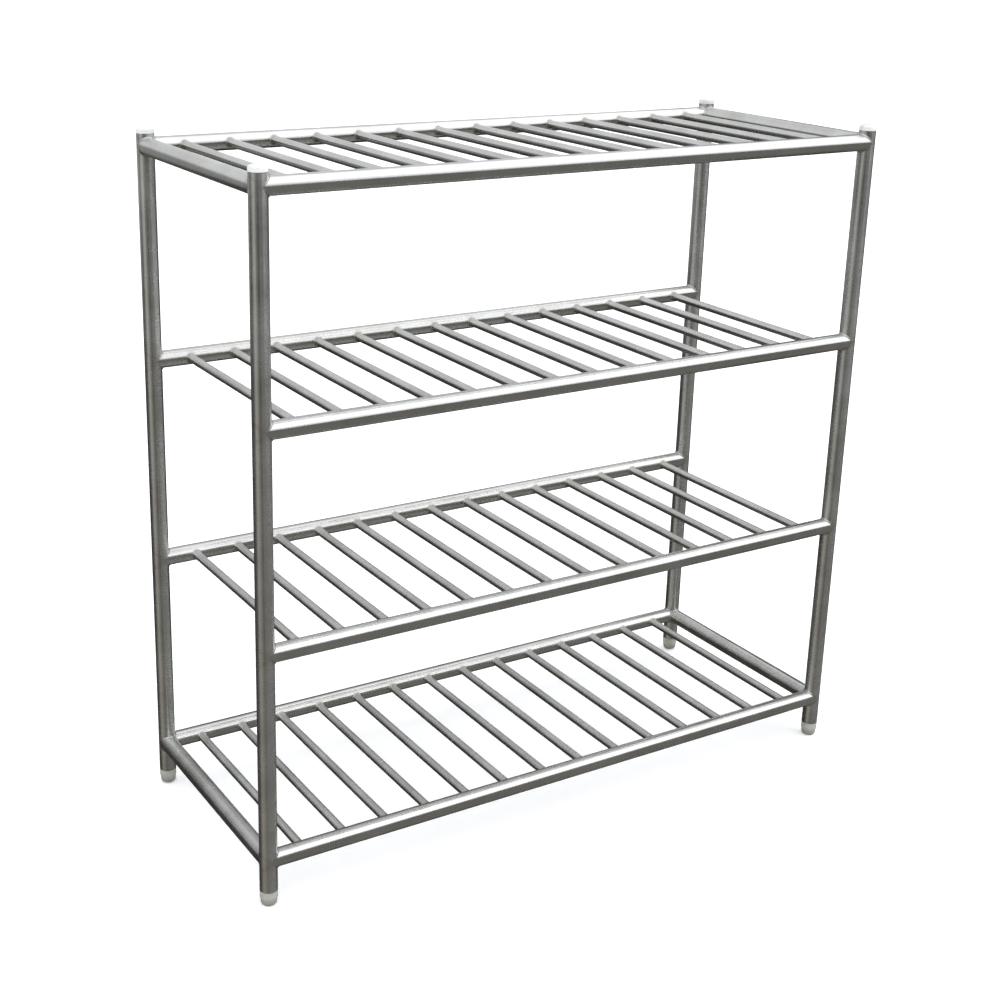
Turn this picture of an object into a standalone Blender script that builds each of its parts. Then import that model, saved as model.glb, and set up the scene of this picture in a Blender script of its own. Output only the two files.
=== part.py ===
"""Four tier stainless steel storage rack, welded from round pipe.

Four posts carry four shelves. Each shelf has a front and a back rail with round slats
between them. The top and bottom shelves also have an end rail on the left and on the right.
Each post has a plastic cap pushed into its top and a plastic foot pushed into its bottom.

Metres, +Z up. The origin is on the floor under the middle of the rack, +X runs to the right
along the rack, and +Y runs to its back.
"""
import math

import bmesh
import bpy
from mathutils import Matrix, Vector

# Frame pipe, used for the posts and for all the rails
PIPE_DIAMETER = 0.038
PIPE_WALL = 0.0015
PIPE_SIDES = 24

# Slat tube
SLAT_DIAMETER = 0.019
SLAT_WALL = 0.0012
SLAT_SIDES = 16

# Rack, between the pipes' centre lines
LENGTH_BETWEEN_POSTS = 1.500
DEPTH_BETWEEN_POSTS = 0.562
BOTTOM_SHELF_HEIGHT = 0.103
SHELF_SPACING = 0.463
POST_RISE_ABOVE_TOP_SHELF = 0.027

# Slats of one shelf, the first and the last set in from the posts' centre lines
SLAT_COUNT = 14
END_SLAT_INSET = 0.0805

# Cap, its heights taken from the post's upper end
CAP_HEIGHT = 0.014
CAP_EDGE_RADIUS = 0.005
CAP_EDGE_STEPS = 3
CAP_CROWN_ANGLE = 15
CAP_CROWN_STEPS = 2
CAP_HOLLOW_TOP = 0.004
CAP_PLUG_LENGTH = 0.018
CAP_PLUG_WALL = 0.002

# Foot
FOOT_HEIGHT = 0.034
FOOT_COLLAR_HEIGHT = 0.015
FOOT_COLLAR_STEP = 0.001
FOOT_TAPER = 0.001
FOOT_EDGE_RADIUS = 0.008
FOOT_EDGE_STEPS = 4
FOOT_PLUG_LENGTH = 0.025
FOOT_PLUG_WALL = 0.003
FOOT_FLOOR = 0.012

# Clearances
WELD_GAP = 0.0003
PLUG_CLEARANCE = 0.0003
SEAT_GAP = 0.0003

# Sizes that follow from the ones above
PIPE_RADIUS = PIPE_DIAMETER / 2
SLAT_RADIUS = SLAT_DIAMETER / 2
PIPE_BORE_RADIUS = PIPE_RADIUS - PIPE_WALL
PLUG_RADIUS = PIPE_BORE_RADIUS - PLUG_CLEARANCE
POST_X = LENGTH_BETWEEN_POSTS / 2
POST_Y = DEPTH_BETWEEN_POSTS / 2

# Shelves from the floor up, with whether each has end rails and loose slats
SHELVES = (
    ("bottom", True),
    ("lower", False),
    ("upper", False),
    ("top", True),
)
TOP_SHELF_HEIGHT = BOTTOM_SHELF_HEIGHT + SHELF_SPACING * (len(SHELVES) - 1)
POST_BOTTOM = FOOT_HEIGHT + SEAT_GAP
POST_TOP = TOP_SHELF_HEIGHT + POST_RISE_ABOVE_TOP_SHELF

CORNERS = (
    ("front_left", -1, -1),
    ("front_right", 1, -1),
    ("back_left", -1, 1),
    ("back_right", 1, 1),
)


def clear_scene():
    for item in list(bpy.data.objects):
        bpy.data.objects.remove(item, do_unlink=True)


def make_material(name, colour, metallic, roughness):
    material = bpy.data.materials.new(name)
    material.use_nodes = True
    shader = material.node_tree.nodes["Principled BSDF"]
    shader.inputs["Base Color"].default_value = (*colour, 1.0)
    shader.inputs["Metallic"].default_value = metallic
    shader.inputs["Roughness"].default_value = roughness
    return material


def finish_mesh(bm, name):
    mesh = bpy.data.meshes.new(name)
    bm.to_mesh(mesh)
    bm.free()
    mesh.shade_smooth()
    mesh.set_sharp_from_angle(angle=math.radians(35))
    return mesh


def place(name, mesh, material, location, rotation=(0.0, 0.0, 0.0), parent=None):
    """Put a mesh in the scene as a named object. A mesh that is shared keeps its material."""
    if not mesh.materials:
        mesh.materials.append(material)
    item = bpy.data.objects.new(name, mesh)
    bpy.context.scene.collection.objects.link(item)
    item.location = location
    item.rotation_euler = rotation
    item.parent = parent
    return item


# Tubes run along their own Z. An end is a function of the point (u, v) across the tube and
# gives the height of the cut there, so a square, a coped and a mitred end are all one kind.
def add_tube(bm, radius, wall, sides, start, finish, offset=(0.0, 0.0, 0.0)):
    rings = []
    bore = radius - wall
    for ring_radius, end in ((radius, start), (radius, finish), (bore, finish), (bore, start)):
        ring = []
        for i in range(sides):
            angle = 2 * math.pi * i / sides
            u = ring_radius * math.cos(angle)
            v = ring_radius * math.sin(angle)
            ring.append(bm.verts.new(Vector((u, v, end(u, v))) + Vector(offset)))
        rings.append(ring)
    for near, far in zip(rings, rings[1:] + rings[:1]):
        for i in range(sides):
            j = (i + 1) % sides
            bm.faces.new((near[i], near[j], far[j], far[i]))


def tube_mesh(name, radius, wall, sides, start, finish):
    bm = bmesh.new()
    add_tube(bm, radius, wall, sides, start, finish)
    return finish_mesh(bm, name)


def square_end(height):
    return lambda u, v: height


def cope_depth(across, radius):
    """How far a round pipe of this radius stands out from its centre line, at this offset."""
    return math.sqrt(max(radius * radius - across * across, 0.0))


# A turned profile runs from the axis, down the outer side, and back to the axis.
def turned_mesh(name, profile, sides):
    bm = bmesh.new()
    first = bm.verts.new((0.0, 0.0, profile[0][1]))
    last = bm.verts.new((0.0, 0.0, profile[-1][1]))
    rings = []
    for radius, height in profile[1:-1]:
        ring = []
        for i in range(sides):
            angle = 2 * math.pi * i / sides
            ring.append(bm.verts.new((radius * math.cos(angle), radius * math.sin(angle), height)))
        rings.append(ring)
    for i in range(sides):
        j = (i + 1) % sides
        bm.faces.new((rings[0][i], rings[0][j], first))
        for above, below in zip(rings, rings[1:]):
            bm.faces.new((below[i], below[j], above[j], above[i]))
        bm.faces.new((last, rings[-1][j], rings[-1][i]))
    return finish_mesh(bm, name)


# Posts: open pipes, cut square at both ends
def build_posts(steel, rack):
    length = POST_TOP - POST_BOTTOM
    mesh = tube_mesh(
        "post_pipe", PIPE_RADIUS, PIPE_WALL, PIPE_SIDES,
        square_end(-length / 2), square_end(length / 2),
    )
    for corner, side_x, side_y in CORNERS:
        middle = (POST_BOTTOM + POST_TOP) / 2
        place("post_" + corner, mesh, steel, (side_x * POST_X, side_y * POST_Y, middle), parent=rack)


# Caps: a head as wide as the post, with a low crown and a round edge, and a hollow plug that
# enters the post's bore
def cap_profile():
    crown_edge = math.radians(CAP_CROWN_ANGLE)
    edge_centre = PIPE_RADIUS - CAP_EDGE_RADIUS
    sphere = edge_centre / math.sin(crown_edge) + CAP_EDGE_RADIUS
    crown_centre = CAP_HEIGHT - sphere
    edge_height = crown_centre + (sphere - CAP_EDGE_RADIUS) * math.cos(crown_edge)
    plug_bore = PLUG_RADIUS - CAP_PLUG_WALL
    profile = [(0.0, CAP_HEIGHT)]
    for step in range(1, CAP_CROWN_STEPS):
        angle = crown_edge * step / CAP_CROWN_STEPS
        profile.append((sphere * math.sin(angle), crown_centre + sphere * math.cos(angle)))
    for step in range(CAP_EDGE_STEPS + 1):
        angle = crown_edge + (math.pi / 2 - crown_edge) * step / CAP_EDGE_STEPS
        radius = edge_centre + CAP_EDGE_RADIUS * math.sin(angle)
        profile.append((radius, edge_height + CAP_EDGE_RADIUS * math.cos(angle)))
    profile.append((PIPE_RADIUS, SEAT_GAP))
    profile.append((PLUG_RADIUS, SEAT_GAP))
    profile.append((PLUG_RADIUS, -CAP_PLUG_LENGTH))
    profile.append((plug_bore, -CAP_PLUG_LENGTH))
    profile.append((plug_bore, CAP_HOLLOW_TOP))
    profile.append((0.0, CAP_HOLLOW_TOP))
    return profile


def build_caps(plastic, rack):
    mesh = turned_mesh("crowned_cap", cap_profile(), PIPE_SIDES)
    for corner, side_x, side_y in CORNERS:
        place("cap_" + corner, mesh, plastic, (side_x * POST_X, side_y * POST_Y, POST_TOP), parent=rack)


# Feet: a collar as wide as the post, a step in to a lower part that tapers to a round edge,
# and a hollow plug that enters the post's bore
def foot_profile():
    step_radius = PIPE_RADIUS - FOOT_COLLAR_STEP
    base_radius = step_radius - FOOT_TAPER
    edge_centre = base_radius - FOOT_EDGE_RADIUS
    collar_bottom = FOOT_HEIGHT - FOOT_COLLAR_HEIGHT
    plug_top = FOOT_HEIGHT + FOOT_PLUG_LENGTH
    plug_bore = PLUG_RADIUS - FOOT_PLUG_WALL
    profile = [(0.0, FOOT_FLOOR), (plug_bore, FOOT_FLOOR), (plug_bore, plug_top)]
    profile.append((PLUG_RADIUS, plug_top))
    profile.append((PLUG_RADIUS, FOOT_HEIGHT))
    profile.append((PIPE_RADIUS, FOOT_HEIGHT))
    profile.append((PIPE_RADIUS, collar_bottom))
    profile.append((step_radius, collar_bottom - FOOT_COLLAR_STEP))
    for step in range(FOOT_EDGE_STEPS + 1):
        angle = math.pi / 2 * step / FOOT_EDGE_STEPS
        radius = edge_centre + FOOT_EDGE_RADIUS * math.cos(angle)
        profile.append((radius, FOOT_EDGE_RADIUS * (1 - math.sin(angle))))
    profile.append((0.0, 0.0))
    return profile


def build_feet(plastic, rack):
    mesh = turned_mesh("tapered_foot", foot_profile(), PIPE_SIDES)
    for corner, side_x, side_y in CORNERS:
        place("foot_" + corner, mesh, plastic, (side_x * POST_X, side_y * POST_Y, 0.0), parent=rack)


# Rails: where two rails of one shelf meet at a post they are mitred against each other,
# and every rail end is coped round its post
MITRE_SHIFT = WELD_GAP / math.sqrt(2)


def rail_end(inward, mitred):
    post_radius = PIPE_RADIUS + WELD_GAP
    depth = cope_depth(inward, post_radius)
    if mitred:
        depth = max(depth, inward + MITRE_SHIFT)
    return depth


# Turned so that its own Z lies along X, a long rail has v towards the rack's back.
ALONG_X = (0.0, math.radians(90), 0.0)


def long_rail_mesh(name, side_y, mitred):
    def start(u, v):
        return -POST_X + rail_end(-side_y * v, mitred)

    def finish(u, v):
        return POST_X - rail_end(-side_y * v, mitred)

    return tube_mesh(name, PIPE_RADIUS, PIPE_WALL, PIPE_SIDES, start, finish)


# Turned so that its own Z lies along Y, a tube has u towards the rack's right end.
ALONG_Y = (math.radians(-90), 0.0, 0.0)


def end_rail_mesh(name, side_x):
    def start(u, v):
        return -POST_Y + rail_end(-side_x * u, True)

    def finish(u, v):
        return POST_Y - rail_end(-side_x * u, True)

    return tube_mesh(name, PIPE_RADIUS, PIPE_WALL, PIPE_SIDES, start, finish)


# Slats: tubes between the two long rails, on the rails' centre line, coped round them
def slat_positions():
    first = -POST_X + END_SLAT_INSET
    spacing = (LENGTH_BETWEEN_POSTS - 2 * END_SLAT_INSET) / (SLAT_COUNT - 1)
    return [first + spacing * i for i in range(SLAT_COUNT)]


def slat_front_end(u, v):
    return -POST_Y + cope_depth(v, PIPE_RADIUS + WELD_GAP)


def slat_back_end(u, v):
    return POST_Y - cope_depth(v, PIPE_RADIUS + WELD_GAP)


def slat_rooted_end(u, v):
    """The back end of a slat that is one piece with its rail stops half way into its wall."""
    return POST_Y - cope_depth(v, PIPE_RADIUS - PIPE_WALL / 2)


def slat_mesh(name):
    return tube_mesh(name, SLAT_RADIUS, SLAT_WALL, SLAT_SIDES, slat_front_end, slat_back_end)


def rooted_slats_mesh(name):
    bm = bmesh.new()
    for x in slat_positions():
        add_tube(
            bm, SLAT_RADIUS, SLAT_WALL, SLAT_SIDES, slat_front_end, slat_rooted_end,
            offset=(x, 0.0, 0.0),
        )
    return finish_mesh(bm, name)


# A shelf with end rails: two long rails, two end rails and its slats, each a piece
def build_framed_shelf(shelf, height, steel, rack):
    for side, side_y in (("front", -1), ("back", 1)):
        name = shelf + "_shelf_" + side + "_rail"
        mesh = long_rail_mesh(name, side_y, True)
        place(name, mesh, steel, (0.0, side_y * POST_Y, height), ALONG_X, rack)
    for side, side_x in (("left", -1), ("right", 1)):
        name = shelf + "_shelf_" + side + "_end_rail"
        mesh = end_rail_mesh(name, side_x)
        place(name, mesh, steel, (side_x * POST_X, 0.0, height), ALONG_Y, rack)
    mesh = slat_mesh(shelf + "_slat_tube")
    for number, x in enumerate(slat_positions(), 1):
        name = shelf + "_shelf_slat_%02d" % number
        place(name, mesh, steel, (x, 0.0, height), ALONG_Y, rack)


# A shelf with open ends: a front rail, and a back rail with the slats welded on as one comb
def build_open_shelf(shelf, height, steel, rack):
    name = shelf + "_shelf_front_rail"
    mesh = long_rail_mesh(name, -1, False)
    place(name, mesh, steel, (0.0, -POST_Y, height), ALONG_X, rack)

    name = shelf + "_shelf_back_rail_and_slats"
    mesh = long_rail_mesh(name, 1, False)
    comb = place(name, mesh, steel, (0.0, POST_Y, height), ALONG_X, rack)
    slats = rooted_slats_mesh(shelf + "_shelf_slats")
    tool = place(slats.name, slats, steel, (0.0, 0.0, height), ALONG_Y, rack)
    tool.hide_render = True
    tool.display_type = "WIRE"
    weld = comb.modifiers.new("weld_slats", "BOOLEAN")
    weld.operation = "UNION"
    weld.object = tool


def build_rack():
    clear_scene()
    steel = make_material("satin_stainless_steel", (0.56, 0.56, 0.55), 1.0, 0.30)
    white = make_material("white_plastic", (0.86, 0.86, 0.84), 0.0, 0.35)
    grey = make_material("pale_grey_plastic", (0.52, 0.52, 0.48), 0.0, 0.45)
    rack = bpy.data.objects.new("rack", None)
    bpy.context.scene.collection.objects.link(rack)
    build_posts(steel, rack)
    build_caps(white, rack)
    build_feet(grey, rack)
    for level, (shelf, framed) in enumerate(SHELVES):
        height = BOTTOM_SHELF_HEIGHT + SHELF_SPACING * level
        if framed:
            build_framed_shelf(shelf, height, steel, rack)
        else:
            build_open_shelf(shelf, height, steel, rack)


build_rack()
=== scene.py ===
import math

import bmesh
import bpy
from mathutils import Matrix, Vector


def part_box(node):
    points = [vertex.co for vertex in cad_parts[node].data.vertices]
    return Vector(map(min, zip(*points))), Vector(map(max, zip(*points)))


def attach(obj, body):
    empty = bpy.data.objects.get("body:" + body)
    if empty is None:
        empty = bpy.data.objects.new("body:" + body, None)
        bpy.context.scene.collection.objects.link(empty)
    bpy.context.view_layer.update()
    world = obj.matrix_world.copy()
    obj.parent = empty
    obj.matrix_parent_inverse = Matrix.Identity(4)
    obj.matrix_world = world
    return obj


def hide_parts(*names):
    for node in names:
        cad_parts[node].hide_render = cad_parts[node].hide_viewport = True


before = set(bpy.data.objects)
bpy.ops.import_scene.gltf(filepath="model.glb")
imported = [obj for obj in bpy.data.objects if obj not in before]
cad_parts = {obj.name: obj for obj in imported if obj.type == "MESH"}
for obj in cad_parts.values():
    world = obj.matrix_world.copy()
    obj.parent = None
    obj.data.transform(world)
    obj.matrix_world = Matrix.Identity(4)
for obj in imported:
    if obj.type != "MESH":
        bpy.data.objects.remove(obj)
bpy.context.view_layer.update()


# Posts

# Four upright pipes of 38 mm stainless steel with a 1.5 mm wall, cut square at both ends.
# Their outside is belt polished round the pipe, which leaves fine lines round it.
post_low, post_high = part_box("post_front_left")
PIPE_RADIUS = (post_high.x - post_low.x) / 2
PIPE_WALL = 0.0015
PIPE_SIDES = 64
POST_X = -(post_low.x + post_high.x) / 2
POST_Y = -(post_low.y + post_high.y) / 2
CORNERS = {"front_left": (-1, -1), "front_right": (1, -1), "back_left": (-1, 1), "back_right": (1, 1)}

SHELVES = ("bottom", "lower", "upper", "top")
SHELF_HEIGHT = {}
for shelf in SHELVES:
    front_rail_low, front_rail_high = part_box(shelf + "_shelf_front_rail")
    SHELF_HEIGHT[shelf] = (front_rail_low.z + front_rail_high.z) / 2
SHELF_SPACING = SHELF_HEIGHT["lower"] - SHELF_HEIGHT["bottom"]

# Real belt lines are about 0.05 mm apart. They are drawn 3 mm apart, so that they show.
BELT_LINE_SPACING = 0.003
BELT_LINE_LENGTH = 0.125
# Cleaning and handling leave patches about a hand wide.
WIPE_MARK_SIZE = 0.12
# Scratches from use run along the pipe. They are up to about 80 mm long and 1 mm wide.
SCRATCH_LENGTH = 1 / 12
SCRATCH_WIDTH = 1 / 900
SCRATCH_DEPTH = 0.6
SCRATCH_ROUGHNESS = 0.08
# Welding leaves a straw and brown tint on the steel, as far from the bead as this.
HEAT_TINT_REACH = 0.009
HEAT_TINT_STRENGTH = 0.30
HEAT_TINT_RAGGEDNESS = 0.6
FINISH_RELIEF = 0.0001


def linear(hex_colour):
    """An sRGB hex colour as the linear RGBA that a shader takes."""
    channels = [int(hex_colour[i:i + 2], 16) / 255 for i in (1, 3, 5)]
    return tuple(c / 12.92 if c <= 0.04045 else ((c + 0.055) / 1.055) ** 2.4 for c in channels) + (1.0,)


def add_node(tree, kind, inputs=None, stops=None, **settings):
    """A node with its settings, its inputs set or linked, and the stops of its ramp."""
    made = tree.nodes.new(kind)
    for name, value in settings.items():
        setattr(made, name, value)
    for socket, value in (inputs or {}).items():
        if isinstance(value, bpy.types.NodeSocket):
            tree.links.new(value, made.inputs[socket])
        else:
            made.inputs[socket].default_value = value
    if stops:
        ramp = made.color_ramp
        while len(ramp.elements) < len(stops):
            ramp.elements.new(0.5)
        for element, (place, colour) in zip(ramp.elements, stops):
            element.position = place
            element.color = colour
    return made


def polished_stainless(name, axis, weld_distance):
    """Stainless steel, grade 304, belt polished round a pipe that runs along this axis.

    The lines round the pipe smear what it mirrors along the pipe, and keep it sharp round the
    pipe. weld_distance makes a socket of the distance in metres to the nearest weld."""
    material = bpy.data.materials.new(name)
    material.use_nodes = True
    tree = material.node_tree
    shader = tree.nodes["Principled BSDF"]
    place = add_node(tree, "ShaderNodeTexCoord").outputs["Object"]

    line_scale = [1 / BELT_LINE_LENGTH] * 3
    line_scale["XYZ".index(axis)] = 1 / BELT_LINE_SPACING
    line_place = add_node(tree, "ShaderNodeVectorMath", {0: place, 1: line_scale}, operation="MULTIPLY")
    belt_lines = add_node(tree, "ShaderNodeTexNoise", {
        "Vector": line_place.outputs[0], "Scale": 1.0, "Detail": 3.0, "Roughness": 0.7,
    }).outputs["Fac"]
    wipe_marks = add_node(tree, "ShaderNodeTexNoise", {
        "Vector": place, "Scale": 1 / WIPE_MARK_SIZE, "Detail": 4.0, "Roughness": 0.6,
    }).outputs["Fac"]

    scratch_scale = [1 / SCRATCH_WIDTH] * 3
    scratch_scale["XYZ".index(axis)] = 1 / SCRATCH_LENGTH
    scratch_place = add_node(tree, "ShaderNodeVectorMath", {0: place, 1: scratch_scale},
                             operation="MULTIPLY")
    scratch_noise = add_node(tree, "ShaderNodeTexNoise", {
        "Vector": scratch_place.outputs[0], "Scale": 1.0, "Detail": 1.0, "Roughness": 0.5,
    }).outputs["Fac"]
    # Only the noise's highest peaks become scratches, so that they lie far apart.
    scratches = add_node(tree, "ShaderNodeMapRange", {
        "Value": scratch_noise, "From Min": 0.70, "From Max": 0.78, "To Min": 0.0, "To Max": 1.0,
    }).outputs[0]

    clean = add_node(tree, "ShaderNodeValToRGB", {"Fac": wipe_marks}, stops=[
        (0.30, linear("#B9B8B3")), (0.55, linear("#C6C6C2")), (0.75, linear("#CFCFCC")),
    ]).outputs["Color"]
    ragged_distance = add_node(tree, "ShaderNodeMath", {0: weld_distance(tree, place), 1: wipe_marks},
                               operation="MULTIPLY").outputs[0]
    heat = add_node(tree, "ShaderNodeMapRange", {
        "Value": ragged_distance, "From Min": 0.0, "From Max": HEAT_TINT_REACH * HEAT_TINT_RAGGEDNESS,
        "To Min": 1.0, "To Max": 0.0,
    }).outputs[0]
    heat_tint = add_node(tree, "ShaderNodeValToRGB", {"Fac": heat}, stops=[
        (0.0, linear("#C6C6C2")), (0.45, linear("#C2BAA4")), (0.75, linear("#B09C86")),
        (1.0, linear("#9A9294")),
    ]).outputs["Color"]
    tint_share = add_node(tree, "ShaderNodeMath", {0: heat, 1: HEAT_TINT_STRENGTH},
                          operation="MULTIPLY").outputs[0]
    colour = add_node(tree, "ShaderNodeMix", {"Factor": tint_share, "A": clean, "B": heat_tint},
                      data_type="RGBA")
    tree.links.new(colour.outputs["Result"], shader.inputs["Base Color"])

    line_roughness = add_node(tree, "ShaderNodeMapRange", {
        "Value": belt_lines, "From Min": 0.25, "From Max": 0.75, "To Min": 0.25, "To Max": 0.28,
    }).outputs[0]
    mark_roughness = add_node(tree, "ShaderNodeMapRange", {
        "Value": wipe_marks, "From Min": 0.3, "From Max": 0.7, "To Min": -0.03, "To Max": 0.03,
    }).outputs[0]
    unscratched = add_node(tree, "ShaderNodeMath", {0: line_roughness, 1: mark_roughness}, operation="ADD")
    roughness = add_node(tree, "ShaderNodeMath", {
        0: scratches, 1: SCRATCH_ROUGHNESS, 2: unscratched.outputs[0],
    }, operation="MULTIPLY_ADD")
    tree.links.new(roughness.outputs[0], shader.inputs["Roughness"])

    relief = add_node(tree, "ShaderNodeMath", {0: scratches, 1: -SCRATCH_DEPTH, 2: belt_lines},
                      operation="MULTIPLY_ADD")
    bump = add_node(tree, "ShaderNodeBump", {
        "Height": relief.outputs[0], "Strength": 0.02, "Distance": FINISH_RELIEF,
    })
    tree.links.new(bump.outputs["Normal"], shader.inputs["Normal"])
    tangent = add_node(tree, "ShaderNodeTangent", direction_type="RADIAL", axis=axis)
    tree.links.new(tangent.outputs["Tangent"], shader.inputs["Tangent"])
    shader.inputs["Metallic"].default_value = 1.0
    shader.inputs["Anisotropic"].default_value = 0.85
    shader.inputs["Anisotropic Rotation"].default_value = 0.25
    return material


def from_nearest(tree, value, first, spacing):
    """Distance from a value to the nearest of many places, which are spaced evenly from the first."""
    past_first = add_node(tree, "ShaderNodeMath", {0: value, 1: first}, operation="SUBTRACT").outputs[0]
    return add_node(tree, "ShaderNodeMath", {0: past_first, 1: spacing / 2}, operation="PINGPONG").outputs[0]


def ring_distance(tree, across, along, radius):
    """Distance to a ring of this radius, from a point given by its place in the ring's plane."""
    flat = add_node(tree, "ShaderNodeCombineXYZ", {"X": across, "Y": along}).outputs[0]
    reach = add_node(tree, "ShaderNodeVectorMath", {0: flat}, operation="LENGTH").outputs["Value"]
    off = add_node(tree, "ShaderNodeMath", {0: reach, 1: radius}, operation="SUBTRACT").outputs[0]
    return add_node(tree, "ShaderNodeMath", {0: off}, operation="ABSOLUTE").outputs[0]


def weld_on_post(tree, place):
    """Distance from a point of a post to the nearest weld: the pipes end on it as 38 mm rings."""
    xyz = add_node(tree, "ShaderNodeSeparateXYZ", {0: place}).outputs
    from_shelf = from_nearest(tree, xyz["Z"], SHELF_HEIGHT["bottom"], SHELF_SPACING)
    outward = add_node(tree, "ShaderNodeMath", {0: xyz["Y"]}, operation="ABSOLUTE").outputs[0]
    across = add_node(tree, "ShaderNodeMath", {0: outward, 1: POST_Y}, operation="SUBTRACT").outputs[0]
    return ring_distance(tree, from_shelf, across, PIPE_RADIUS)


def shaded(bm, name, material, sharp_angle=40):
    """A finished object of a mesh, smooth where it is round and sharp at its edges."""
    bmesh.ops.recalc_face_normals(bm, faces=bm.faces)
    mesh = bpy.data.meshes.new(name)
    bm.to_mesh(mesh)
    bm.free()
    mesh.shade_smooth()
    mesh.set_sharp_from_angle(angle=math.radians(sharp_angle))
    mesh.materials.append(material)
    made = bpy.data.objects.new(name, mesh)
    bpy.context.scene.collection.objects.link(made)
    return made


def pipe(name, material, place, radius, wall, sides, start, finish):
    """A pipe along its own Z. start and finish give the height of its ends at a point across it."""
    bm = bmesh.new()
    bore = radius - wall
    rings = []
    for ring_radius, end in ((radius, start), (radius, finish), (bore, finish), (bore, start)):
        ring = []
        for i in range(sides):
            angle = 2 * math.pi * i / sides
            u, v = ring_radius * math.cos(angle), ring_radius * math.sin(angle)
            ring.append(bm.verts.new(place @ Vector((u, v, end(u, v)))))
        rings.append(ring)
    for near, far in zip(rings, rings[1:] + rings[:1]):
        for i in range(sides):
            j = (i + 1) % sides
            bm.faces.new((near[i], near[j], far[j], far[i]))
    return shaded(bm, name, material)


post_steel = polished_stainless("belt_polished_stainless_post", "Z", weld_on_post)
for corner, (side_x, side_y) in CORNERS.items():
    post_place = Matrix.Translation((side_x * POST_X, side_y * POST_Y, 0))
    post = pipe("post_pipe_" + corner, post_steel, post_place, PIPE_RADIUS, PIPE_WALL, PIPE_SIDES,
                lambda u, v: post_low.z, lambda u, v: post_high.z)
    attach(post, "root")
    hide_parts("post_" + corner)


# Long rails

# The front and back pipes of each shelf, of the same 38 mm pipe as the posts. Each end is
# notched round its post, and on the top and bottom shelves also mitred to the end rail.
FRAMED_SHELVES = ("bottom", "top")
SIDES = {"front": -1, "back": 1}
ALONG_X = Matrix.Rotation(math.radians(90), 4, "Y")
# A pipe's end reaches this far into the pipe that it is welded to, so that no gap shows.
WELD_OVERLAP = 0.0004

first_low, first_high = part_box("top_shelf_slat_01")
last_low, last_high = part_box("top_shelf_slat_14")
SLAT_COUNT = 14
SLAT_RADIUS = (first_high.x - first_low.x) / 2
FIRST_SLAT_X = (first_low.x + first_high.x) / 2
SLAT_SPACING = ((last_low.x + last_high.x) / 2 - FIRST_SLAT_X) / (SLAT_COUNT - 1)


def notch(across, mitred):
    """How far from a post's centre line a rail ends, at this distance inward of its own."""
    depth = math.sqrt(max((PIPE_RADIUS - WELD_OVERLAP) ** 2 - across ** 2, 0))
    return max(depth, across - WELD_OVERLAP) if mitred else depth


def weld_on_long_rail(tree, place):
    """Distance from a point of a long rail to the nearest slat's weld, a 19 mm ring on its inside."""
    xyz = add_node(tree, "ShaderNodeSeparateXYZ", {0: place}).outputs
    from_slat = from_nearest(tree, xyz["X"], FIRST_SLAT_X, SLAT_SPACING)
    from_shelf = from_nearest(tree, xyz["Z"], SHELF_HEIGHT["bottom"], SHELF_SPACING)
    near = ring_distance(tree, from_slat, from_shelf, SLAT_RADIUS)
    # The rail's outside has no weld, so a metre is added there.
    outward = add_node(tree, "ShaderNodeMath", {0: xyz["Y"]}, operation="ABSOLUTE").outputs[0]
    outside = add_node(tree, "ShaderNodeMath", {0: outward, 1: POST_Y}, operation="GREATER_THAN").outputs[0]
    return add_node(tree, "ShaderNodeMath", {0: outside, 1: near}, operation="ADD").outputs[0]


long_rail_steel = polished_stainless("belt_polished_stainless_long_rail", "X", weld_on_long_rail)
for shelf in SHELVES:
    framed = shelf in FRAMED_SHELVES
    for side, side_y in SIDES.items():
        rail_place = Matrix.Translation((0, side_y * POST_Y, SHELF_HEIGHT[shelf])) @ ALONG_X
        rail = pipe(shelf + "_shelf_" + side + "_rail_pipe", long_rail_steel, rail_place,
                    PIPE_RADIUS, PIPE_WALL, PIPE_SIDES,
                    lambda u, v: -POST_X + notch(-side_y * v, framed),
                    lambda u, v: POST_X - notch(-side_y * v, framed))
        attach(rail, "root")
        node_ending = "_rail_and_slats" if side == "back" and not framed else "_rail"
        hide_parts(shelf + "_shelf_" + side + node_ending)


# End rails

# The left and right pipes of the top and bottom shelves, of the same 38 mm pipe. They meet the
# long rails at the post in a 45 degree mitre, and are notched round the post.
ALONG_Y = Matrix.Rotation(math.radians(-90), 4, "X")


def weld_on_cross_pipe(tree, place):
    """Distance from a point of a pipe that runs front to back to the weld at its end."""
    weld_y = POST_Y - PIPE_RADIUS
    xyz = add_node(tree, "ShaderNodeSeparateXYZ", {0: place}).outputs
    outward = add_node(tree, "ShaderNodeMath", {0: xyz["Y"]}, operation="ABSOLUTE").outputs[0]
    return add_node(tree, "ShaderNodeMath", {0: weld_y, 1: outward}, operation="SUBTRACT").outputs[0]


cross_steel = polished_stainless("belt_polished_stainless_cross_pipe", "Y", weld_on_cross_pipe)
for shelf in FRAMED_SHELVES:
    for side, side_x in (("left", -1), ("right", 1)):
        rail_place = Matrix.Translation((side_x * POST_X, 0, SHELF_HEIGHT[shelf])) @ ALONG_Y
        rail = pipe(shelf + "_shelf_" + side + "_end_rail_pipe", cross_steel, rail_place,
                    PIPE_RADIUS, PIPE_WALL, PIPE_SIDES,
                    lambda u, v: -POST_Y + notch(-side_x * u, True),
                    lambda u, v: POST_Y - notch(-side_x * u, True))
        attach(rail, "root")
        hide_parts(shelf + "_shelf_" + side + "_end_rail")


# Slats

# Fourteen 19 mm stainless tubes on each shelf, between the two long rails at their mid height.
# Both ends are notched round the rails.
SLAT_WALL = 0.0012
SLAT_SIDES = 48


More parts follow.
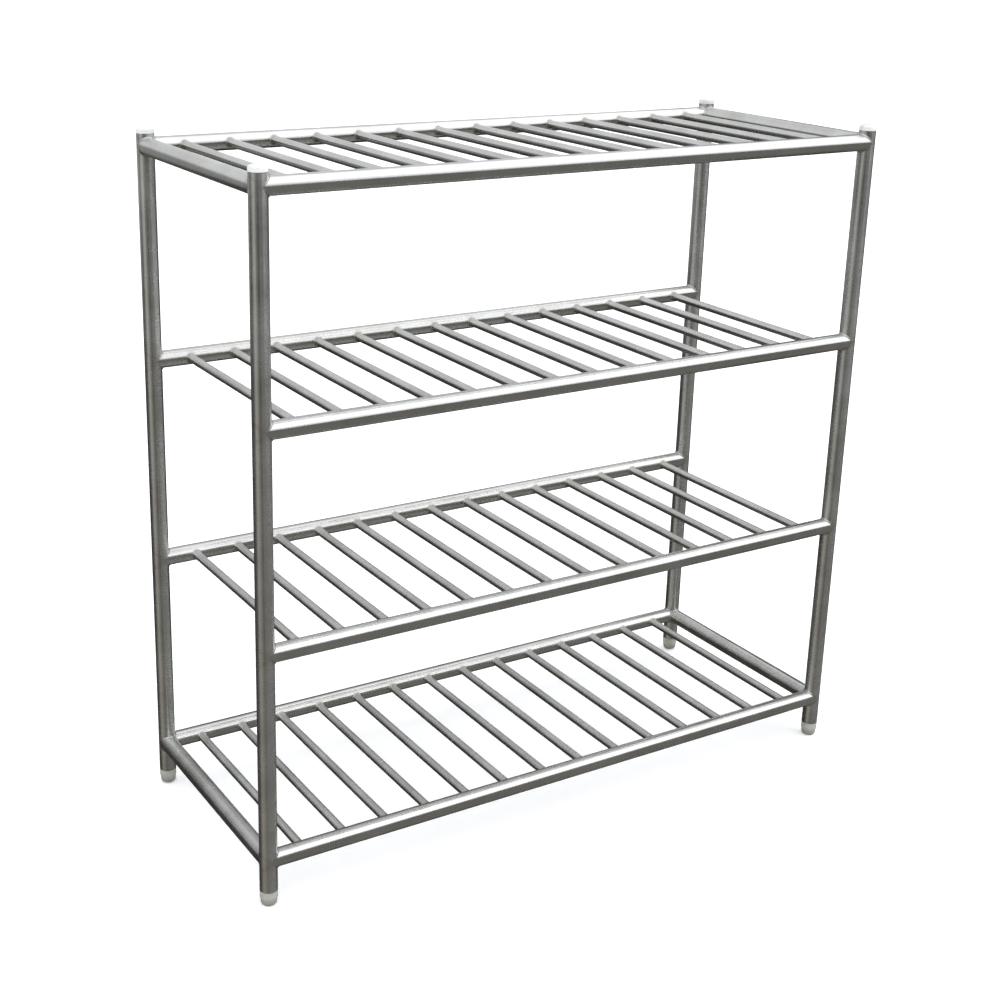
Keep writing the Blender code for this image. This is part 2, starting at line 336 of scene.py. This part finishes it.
def slat_notch(across):
    """How far from a long rail's centre line a slat ends, at this height from its own."""
    return math.sqrt((PIPE_RADIUS - WELD_OVERLAP) ** 2 - across ** 2)


for shelf in SHELVES:
    for number in range(1, SLAT_COUNT + 1):
        slat_x = FIRST_SLAT_X + SLAT_SPACING * (number - 1)
        slat_place = Matrix.Translation((slat_x, 0, SHELF_HEIGHT[shelf])) @ ALONG_Y
        slat = pipe("%s_shelf_slat_tube_%02d" % (shelf, number), cross_steel, slat_place,
                    SLAT_RADIUS, SLAT_WALL, SLAT_SIDES,
                    lambda u, v: -POST_Y + slat_notch(v),
                    lambda u, v: POST_Y - slat_notch(v))
        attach(slat, "root")
        if shelf in FRAMED_SHELVES:
            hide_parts("%s_shelf_slat_%02d" % (shelf, number))
        else:
            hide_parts(shelf + "_shelf_back_rail_and_slats")


# Weld beads

# Every joint is closed by a small fillet of stainless weld that runs all round it. The beads
# are rippled where the weld was laid drop by drop, and duller than the polished pipe.
SLAT_BEAD_LEG = 0.0024
RAIL_BEAD_LEG = 0.0028
# Where the two pipes run on into each other, a bead is narrower than in a square corner.
FLUSH_BEAD_SHARE = 0.3
FLUSH_FOLD = 0.2
BEAD_RIPPLE_SPACING = 0.0022
FEWEST_RIPPLES = 6
BEAD_WIDTH_RIPPLE = 0.03
BEAD_CROWN = 0.10
BEAD_CROWN_RIPPLE = 0.15
BEAD_SUNK = 0.0002
BEAD_SHARP_ANGLE = 60
SLAT_BEAD_STEPS = 88
RAIL_BEAD_STEPS = 176
MITRED_RAIL_BEAD_STEPS = 140
MITRE_BEAD_STEPS = 40
MITRE_ANGLE = math.radians(45)
# Brush marks and oxide spots on the weld metal
WELD_SPOT_SIZE = 0.001

UP = Vector((0, 0, 1))
RIGHT = Vector((1, 0, 0))
BACK = Vector((0, 1, 0))


def pressed_onto(point, centre, way, radius):
    """The point moved straight in or out, until it is this far from a line through centre."""
    from_line = point - centre
    from_line -= way * from_line.dot(way)
    return point + from_line.normalized() * (radius - from_line.length)


def weld_bead(bm, centre, branch_way, main_way, branch_radius, angles, leg, closed=True):
    """A bead where a branch pipe ends on a 38 mm pipe. The branch leaves centre along
    branch_way, and angles go round it from the direction square to both pipes."""
    side_way = main_way.cross(branch_way)
    points = []
    for angle in angles:
        off_side = branch_radius * math.cos(angle)
        branch_out = side_way * math.cos(angle) + main_way * math.sin(angle)
        rise = math.sqrt(max(PIPE_RADIUS ** 2 - off_side ** 2, 0))
        point = centre + branch_out * branch_radius + branch_way * rise
        main_out = (side_way * off_side + branch_way * rise) / PIPE_RADIUS
        points.append((point, branch_out, main_out))
    bead_length = branch_radius * abs(angles[-1] - angles[0])
    ripples = max(FEWEST_RIPPLES, round(bead_length / BEAD_RIPPLE_SPACING))
    sections = []
    for i, (point, branch_out, main_out) in enumerate(points):
        before = points[i - 1][0] if closed or i else point
        after = points[(i + 1) % len(points)][0] if closed or i + 1 < len(points) else point
        run = (after - before).normalized()
        # The sine of the angle between the two surfaces: 1 in a square corner, 0 where they run on
        fold = math.sqrt(max(1 - branch_out.dot(main_out) ** 2, 0))
        ripple = math.cos(2 * math.pi * ripples * i / len(points))
        width = leg * (FLUSH_BEAD_SHARE + (1 - FLUSH_BEAD_SHARE) * fold) * (1 + BEAD_WIDTH_RIPPLE * ripple)
        up_branch = branch_out.cross(run)
        if up_branch.dot(branch_way) < 0:
            up_branch.negate()
        along_main = main_out.cross(run)
        inward = along_main.dot(up_branch) > 0 if fold < FLUSH_FOLD else along_main.dot(branch_out) < 0
        if inward:
            along_main.negate()
        toe_branch = pressed_onto(point + up_branch * width, centre, branch_way, branch_radius - BEAD_SUNK)
        toe_main = pressed_onto(point + along_main * width, centre, main_way, PIPE_RADIUS - BEAD_SUNK)
        outward = (branch_out + main_out).normalized()
        crown = BEAD_CROWN * width * (1 + BEAD_CROWN_RIPPLE * ripple) + BEAD_SUNK
        section = [toe_branch]
        for share in (0.25, 0.5, 0.75):
            swell = math.sin(math.pi * share) * crown
            section.append(toe_branch.lerp(toe_main, share) + outward * swell)
        section += [toe_main, point - outward * 2 * BEAD_SUNK]
        sections.append([bm.verts.new(corner) for corner in section])
    followers = sections[1:] + sections[:1] if closed else sections[1:]
    for near, far in zip(sections, followers):
        for i in range(len(near)):
            j = (i + 1) % len(near)
            bm.faces.new((near[i], near[j], far[j], far[i]))
    if not closed:
        bm.faces.new(sections[0])
        bm.faces.new(reversed(sections[-1]))


def all_round(count):
    return [2 * math.pi * i / count for i in range(count)]


def part_round(count, start, finish):
    return [start + (finish - start) * i / (count - 1) for i in range(count)]


def wire_brushed_weld():
    """Stainless weld metal, wire brushed: grey, duller than the pipe, and slightly straw coloured."""
    material = bpy.data.materials.new("wire_brushed_stainless_weld")
    material.use_nodes = True
    tree = material.node_tree
    shader = tree.nodes["Principled BSDF"]
    place = add_node(tree, "ShaderNodeTexCoord").outputs["Object"]
    spots = add_node(tree, "ShaderNodeTexNoise", {
        "Vector": place, "Scale": 1 / WELD_SPOT_SIZE, "Detail": 3.0,
    }).outputs["Fac"]
    colour = add_node(tree, "ShaderNodeValToRGB", {"Fac": spots}, stops=[
        (0.30, linear("#8F8E8B")), (0.55, linear("#A9A9A7")), (0.75, linear("#BABAB9")),
    ])
    tree.links.new(colour.outputs["Color"], shader.inputs["Base Color"])
    roughness = add_node(tree, "ShaderNodeMapRange", {
        "Value": spots, "From Min": 0.3, "From Max": 0.7, "To Min": 0.30, "To Max": 0.44,
    })
    tree.links.new(roughness.outputs[0], shader.inputs["Roughness"])
    bump = add_node(tree, "ShaderNodeBump", {"Height": spots, "Strength": 0.2, "Distance": FINISH_RELIEF})
    tree.links.new(bump.outputs["Normal"], shader.inputs["Normal"])
    shader.inputs["Metallic"].default_value = 1.0
    return material


weld_metal = wire_brushed_weld()
for shelf in SHELVES:
    for side, side_y in SIDES.items():
        beads = bmesh.new()
        for number in range(SLAT_COUNT):
            slat_x = FIRST_SLAT_X + SLAT_SPACING * number
            joint = Vector((slat_x, side_y * POST_Y, SHELF_HEIGHT[shelf]))
            angles = all_round(SLAT_BEAD_STEPS)
            weld_bead(beads, joint, -side_y * BACK, RIGHT, SLAT_RADIUS, angles, SLAT_BEAD_LEG)
        slat_welds = shaded(beads, "%s_shelf_%s_slat_welds" % (shelf, side), weld_metal, BEAD_SHARP_ANGLE)
        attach(slat_welds, "root")

# Where a rail is mitred, its bead stops at the mitre, and a short bead closes the mitre.
for shelf in SHELVES:
    for corner, (side_x, side_y) in CORNERS.items():
        joint = Vector((side_x * POST_X, side_y * POST_Y, SHELF_HEIGHT[shelf]))
        beads = bmesh.new()
        inward_x, inward_y = -side_x * RIGHT, -side_y * BACK
        if shelf in FRAMED_SHELVES:
            for way, other_way in ((inward_x, inward_y), (inward_y, inward_x)):
                away_from_other = 0.0 if UP.cross(way).dot(other_way) < 0 else math.pi
                reach = math.pi - MITRE_ANGLE
                angles = part_round(MITRED_RAIL_BEAD_STEPS, away_from_other - reach, away_from_other + reach)
                weld_bead(beads, joint, way, UP, PIPE_RADIUS, angles, RAIL_BEAD_LEG, closed=False)
            angles = part_round(MITRE_BEAD_STEPS, MITRE_ANGLE, math.pi - MITRE_ANGLE)
            weld_bead(beads, joint, inward_y, inward_x, PIPE_RADIUS, angles, RAIL_BEAD_LEG, closed=False)
        else:
            weld_bead(beads, joint, inward_x, UP, PIPE_RADIUS, all_round(RAIL_BEAD_STEPS), RAIL_BEAD_LEG)
        corner_weld = shaded(beads, "%s_shelf_%s_corner_weld" % (shelf, corner), weld_metal,
                             BEAD_SHARP_ANGLE)
        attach(corner_weld, "root")


# Caps

# White polyethylene plugs, moulded in one piece, one in the top of each post. The head is as
# wide as the post, with a low crown and a round edge, and the hollow plug is inside the pipe.
cap_low, cap_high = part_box("cap_front_left")
CAP_HEIGHT = cap_high.z - post_high.z
CAP_EDGE_RADIUS = 0.005
CAP_CROWN_ANGLE = math.radians(15)
CAP_HOLLOW_TOP = 0.004
CAP_PLUG_WALL = 0.002
CAP_RIM_BEVEL = 0.0004
# The moulding gate was trimmed off at the top, which leaves a small flat with a soft edge.
CAP_GATE_RADIUS = 0.0012
CAP_GATE_FLAT_SHARE = 0.8
CAP_CROWN_STEPS = 8
MOULDED_EDGE_STEPS = 10
SEAT_GAP = 0.0003
PLUG_CLEARANCE = 0.0003
PLUG_RADIUS = PIPE_RADIUS - PIPE_WALL - PLUG_CLEARANCE
TURNED_SIDES = 96
MOULDED_SHARP_ANGLE = 30

PLASTIC_CLOUD_SIZE = 0.008
PLASTIC_GRAIN_SIZE = 0.0005
# The colour of dirt, and of painted shade, towards the floor
PLASTIC_DIRT_AND_SHADE = "#5C594E"
# Some dirt and painted shade lie even where the plastic is clearest.
LEAST_DIRT_AND_SHADE = 0.25


def turned(name, material, place, profile):
    """A round piece from its profile, given as radius and height from its top to its bottom."""
    bm = bmesh.new()
    rings = []
    for radius, height in profile:
        if radius == 0:
            rings.append([bm.verts.new(place @ Vector((0, 0, height)))] * TURNED_SIDES)
            continue
        ring = []
        for i in range(TURNED_SIDES):
            angle = 2 * math.pi * i / TURNED_SIDES
            point = Vector((radius * math.cos(angle), radius * math.sin(angle), height))
            ring.append(bm.verts.new(place @ point))
        rings.append(ring)
    for above, below in zip(rings, rings[1:]):
        for i in range(TURNED_SIDES):
            j = (i + 1) % TURNED_SIDES
            corners = []
            for vert in (above[i], below[i], below[j], above[j]):
                if vert not in corners:
                    corners.append(vert)
            bm.faces.new(corners)
    return shaded(bm, name, material, MOULDED_SHARP_ANGLE)


def arc(centre_radius, centre_height, radius, start, finish, steps):
    """Points of a round edge, with its angles taken from straight up towards the outside."""
    points = []
    for i in range(steps + 1):
        angle = start + (finish - start) * i / steps
        points.append((centre_radius + radius * math.sin(angle), centre_height + radius * math.cos(angle)))
    return points


def moulded_polyethylene(name, light, dark, roughness, dirt_and_shade_top):
    """Polyethylene, injection moulded: waxy, softly glossy, and a little clouded. It is painted darker
    towards the floor, up to a height in metres given last: partly dirt, partly painted shade where it faces
    the ground."""
    material = bpy.data.materials.new(name)
    material.use_nodes = True
    tree = material.node_tree
    shader = tree.nodes["Principled BSDF"]
    place = add_node(tree, "ShaderNodeTexCoord").outputs["Object"]
    cloud = add_node(tree, "ShaderNodeTexNoise", {
        "Vector": place, "Scale": 1 / PLASTIC_CLOUD_SIZE, "Detail": 4.0,
    }).outputs["Fac"]
    grain = add_node(tree, "ShaderNodeTexNoise", {
        "Vector": place, "Scale": 1 / PLASTIC_GRAIN_SIZE, "Detail": 2.0,
    }).outputs["Fac"]
    clean = add_node(tree, "ShaderNodeValToRGB", {"Fac": cloud}, stops=[
        (0.3, linear(dark)), (0.7, linear(light)),
    ]).outputs["Color"]
    # Painted shade and dirt: the colour darkens towards the floor, where the plastic faces the ground.
    height = add_node(tree, "ShaderNodeSeparateXYZ", {0: place}).outputs["Z"]
    lowness = add_node(tree, "ShaderNodeMapRange", {
        "Value": height, "From Min": 0.0, "From Max": dirt_and_shade_top, "To Min": 1.0, "To Max": 0.0,
    }).outputs[0]
    patches = add_node(tree, "ShaderNodeMath", {0: cloud, 1: LEAST_DIRT_AND_SHADE}, operation="ADD").outputs[0]
    dirt_and_shade = add_node(tree, "ShaderNodeMath", {0: lowness, 1: patches}, operation="MULTIPLY").outputs[0]
    colour = add_node(tree, "ShaderNodeMix", {"Factor": dirt_and_shade, "A": clean, "B": linear(PLASTIC_DIRT_AND_SHADE)},
                      data_type="RGBA")
    tree.links.new(colour.outputs["Result"], shader.inputs["Base Color"])
    clouded_roughness = add_node(tree, "ShaderNodeMapRange", {
        "Value": cloud, "From Min": 0.3, "From Max": 0.7,
        "To Min": roughness - 0.05, "To Max": roughness + 0.08,
    })
    tree.links.new(clouded_roughness.outputs[0], shader.inputs["Roughness"])
    bump = add_node(tree, "ShaderNodeBump", {"Height": grain, "Strength": 0.15, "Distance": FINISH_RELIEF})
    tree.links.new(bump.outputs["Normal"], shader.inputs["Normal"])
    shader.inputs["IOR"].default_value = 1.51
    return material


# The crown is part of a ball, which runs into the round edge at CAP_CROWN_ANGLE.
crown_radius = (PIPE_RADIUS - CAP_EDGE_RADIUS) / math.sin(CAP_CROWN_ANGLE) + CAP_EDGE_RADIUS
crown_centre = CAP_HEIGHT - crown_radius
gate_angle = CAP_GATE_RADIUS / crown_radius
edge_centre = crown_centre + (crown_radius - CAP_EDGE_RADIUS) * math.cos(CAP_CROWN_ANGLE)
cap_bore = PLUG_RADIUS - CAP_PLUG_WALL
cap_plug_end = cap_low.z - post_high.z
cap_profile = [(0, CAP_HEIGHT), (CAP_GATE_RADIUS * CAP_GATE_FLAT_SHARE, CAP_HEIGHT)]
cap_profile += arc(0, crown_centre, crown_radius, gate_angle, CAP_CROWN_ANGLE, CAP_CROWN_STEPS)
cap_profile += arc(PIPE_RADIUS - CAP_EDGE_RADIUS, edge_centre, CAP_EDGE_RADIUS,
                   CAP_CROWN_ANGLE, math.radians(90), MOULDED_EDGE_STEPS)[1:]
cap_profile += [(PIPE_RADIUS, SEAT_GAP + CAP_RIM_BEVEL), (PIPE_RADIUS - CAP_RIM_BEVEL, SEAT_GAP)]
cap_profile += [(PLUG_RADIUS, SEAT_GAP), (PLUG_RADIUS, cap_plug_end)]
cap_profile += [(cap_bore, cap_plug_end), (cap_bore, CAP_HOLLOW_TOP), (0, CAP_HOLLOW_TOP)]

cap_plastic = moulded_polyethylene("moulded_white_polyethylene", light="#DEDEDA", dark="#D3D3CE",
                                   roughness=0.34, dirt_and_shade_top=0.001)
for corner, (side_x, side_y) in CORNERS.items():
    cap_place = Matrix.Translation((side_x * POST_X, side_y * POST_Y, post_high.z))
    cap = turned("cap_moulding_" + corner, cap_plastic, cap_place, cap_profile)
    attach(cap, "root")
    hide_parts("cap_" + corner)


# Feet

# Pale grey polyethylene plugs, one in the bottom of each post. A collar as wide as the post
# carries it, and the part below steps in and tapers to a round edge on the floor.
foot_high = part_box("foot_front_left")[1]
FOOT_HEIGHT = post_low.z - SEAT_GAP
FOOT_RIM_RADIUS = 0.0006
FOOT_RIM_STEPS = 3
FOOT_COLLAR_HEIGHT = 0.015
FOOT_COLLAR_STEP = 0.001
FOOT_TAPER = 0.001
FOOT_EDGE_RADIUS = 0.008
FOOT_PLUG_WALL = 0.003
FOOT_FLOOR = 0.012

foot_bore = PLUG_RADIUS - FOOT_PLUG_WALL
foot_base = PIPE_RADIUS - FOOT_COLLAR_STEP - FOOT_TAPER
collar_bottom = FOOT_HEIGHT - FOOT_COLLAR_HEIGHT
foot_profile = [(0, FOOT_FLOOR), (foot_bore, FOOT_FLOOR), (foot_bore, foot_high.z)]
foot_profile += [(PLUG_RADIUS, foot_high.z), (PLUG_RADIUS, FOOT_HEIGHT)]
foot_profile += arc(PIPE_RADIUS - FOOT_RIM_RADIUS, FOOT_HEIGHT - FOOT_RIM_RADIUS, FOOT_RIM_RADIUS,
                    0, math.radians(90), FOOT_RIM_STEPS)
foot_profile += [(PIPE_RADIUS, collar_bottom)]
foot_profile += [(PIPE_RADIUS - FOOT_COLLAR_STEP, collar_bottom - FOOT_COLLAR_STEP)]
foot_profile += arc(foot_base - FOOT_EDGE_RADIUS, FOOT_EDGE_RADIUS, FOOT_EDGE_RADIUS,
                    math.radians(90), math.radians(180), MOULDED_EDGE_STEPS)
foot_profile += [(0, 0)]

# The foot is painted darker towards the floor: partly dirt, partly painted shade of its lower part, which
# faces the ground.
foot_plastic = moulded_polyethylene("moulded_pale_grey_polyethylene", light="#A3A49A", dark="#95968B",
                                    roughness=0.42, dirt_and_shade_top=0.022)
for corner, (side_x, side_y) in CORNERS.items():
    foot_place = Matrix.Translation((side_x * POST_X, side_y * POST_Y, 0))
    foot = turned("foot_moulding_" + corner, foot_plastic, foot_place, foot_profile)
    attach(foot, "root")
    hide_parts("foot_" + corner)


# Studio

# A plain white floor that runs to a white wall far away, under a soft sky that is bright in
# front and dimmer behind. Grey cards stand near the rack and are seen only in its reflections.
FLOOR_RADIUS = 60.0
FLOOR_SIDES = 96
FLOOR_DROP = 0.0003
FLOOR_GLOW = 0.22
WALL_HEIGHT = 30.0
WALL_GLOW = 1.0

# Each card has its glow, its two ends on the floor plan, and its bottom and top. The cards are
# near, so the low shelves mirror more of them than the high shelves do.
CARDS = {
    "dark_plinth_behind": (0.05, (-2.9, 1.8), (1.6, 1.8), 0.0, 0.75),
    "grey_board_behind": (0.38, (-2.9, 1.8), (1.6, 1.8), 0.75, 1.65),
    "dark_card_behind_right": (0.12, (2.0, 1.7), (2.8, 0.3), 0.0, 2.8),
    "low_wall_in_front_right": (0.20, (0.3, -3.1), (4.6, -3.1), 0.0, 1.5),
}


def matt_paint(name, glow, colour="#F1F1EF", shine=0.5):
    """Matt white paint that also glows evenly. A card is painted black and has no shine, so that
    its glow is all that the steel mirrors."""
    material = bpy.data.materials.new(name)
    material.use_nodes = True
    shader = material.node_tree.nodes["Principled BSDF"]
    shader.inputs["Base Color"].default_value = linear(colour)
    shader.inputs["Roughness"].default_value = 0.9
    shader.inputs["Specular IOR Level"].default_value = shine
    shader.inputs["Emission Color"].default_value = linear("#FFFFFF")
    shader.inputs["Emission Strength"].default_value = glow
    return material


def hide_from(piece, *rays):
    """These kinds of ray pass through the piece."""
    for kind in rays:
        setattr(piece, "visible_" + kind, False)


floor_mesh = bmesh.new()
bmesh.ops.create_circle(floor_mesh, cap_ends=True, segments=FLOOR_SIDES, radius=FLOOR_RADIUS)
bmesh.ops.translate(floor_mesh, verts=floor_mesh.verts, vec=(0, 0, -FLOOR_DROP))
floor = shaded(floor_mesh, "floor", matt_paint("plain_white_floor", FLOOR_GLOW))
hide_from(floor, "glossy")

wall_mesh = bmesh.new()
bmesh.ops.create_cone(wall_mesh, segments=FLOOR_SIDES, radius1=FLOOR_RADIUS, radius2=FLOOR_RADIUS,
                      depth=WALL_HEIGHT)
bmesh.ops.translate(wall_mesh, verts=wall_mesh.verts, vec=(0, 0, WALL_HEIGHT / 2 - FLOOR_DROP))
wall = shaded(wall_mesh, "far_wall", matt_paint("plain_white_wall", WALL_GLOW))
hide_from(wall, "glossy", "diffuse", "shadow")

for card_name, (glow, start, finish, bottom, top) in CARDS.items():
    card_mesh = bmesh.new()
    card_corners = [(*start, bottom), (*finish, bottom), (*finish, top), (*start, top)]
    card_mesh.faces.new([card_mesh.verts.new(corner) for corner in card_corners])
    card = shaded(card_mesh, card_name, matt_paint("matt_" + card_name, glow, colour="#000000", shine=0.0))
    hide_from(card, "camera", "diffuse", "shadow")

world = bpy.data.worlds.new("soft_sky_over_low_walls")
bpy.context.scene.world = world
world.use_nodes = True
world_tree = world.node_tree
ray = add_node(world_tree, "ShaderNodeTexCoord").outputs["Generated"]
ray_xyz = add_node(world_tree, "ShaderNodeSeparateXYZ", {0: ray}).outputs
rise = add_node(world_tree, "ShaderNodeMath", {0: ray_xyz["Z"]}, operation="ARCSINE").outputs[0]
elevation = add_node(world_tree, "ShaderNodeMath", {0: rise}, operation="DEGREES").outputs[0]
turn = add_node(world_tree, "ShaderNodeMath", {0: ray_xyz["X"], 1: ray_xyz["Y"]},
                operation="ARCTAN2").outputs[0]
# 0 degrees is straight behind the rack, 90 its right, 180 its front and 270 its left.
compass = add_node(world_tree, "ShaderNodeMath", {0: turn}, operation="DEGREES").outputs[0]


def covered(under, colour, *edges):
    """What lies under it, covered by this colour. Each edge is a value that changes over the sky,
    with where the cover starts and where it is full."""
    cover = 1.0
    for value, start, full in edges:
        edge = add_node(world_tree, "ShaderNodeMapRange", {
            "Value": value, "From Min": start, "From Max": full,
        }, interpolation_type="SMOOTHSTEP").outputs[0]
        cover = add_node(world_tree, "ShaderNodeMath", {0: cover, 1: edge}, operation="MULTIPLY").outputs[0]
    return add_node(world_tree, "ShaderNodeMix", {"Factor": cover, "A": under, "B": colour},
                    data_type="RGBA").outputs["Result"]


def level(brightness, warmth=0.0):
    """A grey of this brightness, warmer where warmth is above 0 and cooler below it."""
    return (brightness * (1 + warmth), brightness, brightness * (1 - 2 * warmth), 1.0)


def turned_from(middle):
    """How many degrees the ray's compass direction is away from this one."""
    off = add_node(world_tree, "ShaderNodeMath", {0: compass, 1: middle}, operation="SUBTRACT").outputs[0]
    wrapped = add_node(world_tree, "ShaderNodeMath", {0: off, 1: 180.0, 2: -180.0},
                       operation="WRAP").outputs[0]
    return add_node(world_tree, "ShaderNodeMath", {0: wrapped}, operation="ABSOLUTE").outputs[0]


def placed(under, colour, middle, half_width, low, high, soft=6):
    """What lies under it, with a soft-edged patch of colour over these degrees."""
    return covered(under, colour,
                   (turned_from(middle), half_width + soft, half_width - soft),
                   (elevation, low - soft, low + soft),
                   (elevation, high + soft, high - soft))


# The ground is nearly black behind the rack, grey in front of it, and warmer on the left.
ground = covered(level(0.05, 0.04), level(0.21, 0.03), (turned_from(190), 115, 80))
ground = placed(ground, level(0.24, 0.10), middle=250, half_width=30, low=-90, high=-15)
far_ground = level(0.18)

# A soft light stands half way up on the right, and is a little brighter than the sky in front.
# How nearly a ray points to it tells whether the ray sees it. Overhead the sky is even.
KEY_COMPASS = math.radians(110)
KEY_ELEVATION = math.radians(45)
key_way = (math.sin(KEY_COMPASS) * math.cos(KEY_ELEVATION),
           math.cos(KEY_COMPASS) * math.cos(KEY_ELEVATION),
           math.sin(KEY_ELEVATION))
key_nearness = add_node(world_tree, "ShaderNodeVectorMath", {0: ray, 1: key_way},
                        operation="DOT_PRODUCT").outputs["Value"]
sky = covered(level(0.95, -0.02), level(2.0, -0.03), (turned_from(200), 130, 50))
sky = covered(sky, level(2.14, -0.02), (key_nearness, 0.70, 0.88))
sky = covered(sky, level(1.63, -0.02), (elevation, 60, 75))

# A wall stands in front on the left, with a bright opening in it and a dark stand before it.
seen = covered(ground, far_ground, (elevation, -8, 3))
seen = covered(seen, sky, (elevation, 1, 7))
seen = placed(seen, level(0.16), middle=220, half_width=60, low=-5, high=24)
seen = placed(seen, level(0.60), middle=260, half_width=18, low=-18, high=20)
seen = placed(seen, level(0.04), middle=211, half_width=10, low=-24, high=3)
background = world_tree.nodes["Background"]
world_tree.links.new(seen, background.inputs["Color"])
background.inputs["Strength"].default_value = 1.0


# Camera

# It stands in front of the rack and to its left, higher than the top shelf, and looks down on
# it. Its place, direction and focal length come from fitting the rack's edges in the photograph.
CAMERA_PLACE = Vector((-1.93222, -2.89609, 1.96393))
CAMERA_TURN = math.radians(31.134)
CAMERA_TILT = math.radians(17.531)
CAMERA_ROLL = math.radians(-1.181)
# In widths of the picture
CAMERA_FOCAL = 1.59353
# Where the camera points, across and down the picture
PICTURE_CENTRE = (0.44285, 0.41780)
SENSOR_WIDTH = 36.0
CAMERA_REACH = 200.0

forward = Vector((math.sin(CAMERA_TURN) * math.cos(CAMERA_TILT),
                  math.cos(CAMERA_TURN) * math.cos(CAMERA_TILT),
                  -math.sin(CAMERA_TILT)))
level_right = Vector((math.cos(CAMERA_TURN), -math.sin(CAMERA_TURN), 0))
level_down = forward.cross(level_right)
right = level_right * math.cos(CAMERA_ROLL) + level_down * math.sin(CAMERA_ROLL)
down = level_down * math.cos(CAMERA_ROLL) - level_right * math.sin(CAMERA_ROLL)
camera_data = bpy.data.cameras.new("camera")
camera_data.sensor_width = SENSOR_WIDTH
camera_data.lens = SENSOR_WIDTH * CAMERA_FOCAL
camera_data.shift_x = 0.5 - PICTURE_CENTRE[0]
camera_data.shift_y = PICTURE_CENTRE[1] - 0.5
camera_data.clip_end = CAMERA_REACH
camera = bpy.data.objects.new("camera", camera_data)
bpy.context.scene.collection.objects.link(camera)
camera_turned = Matrix((right, -down, -forward)).transposed().to_4x4()
camera.matrix_world = Matrix.Translation(CAMERA_PLACE) @ camera_turned
bpy.context.scene.camera = camera
bpy.context.scene.view_settings.view_transform = "Standard"
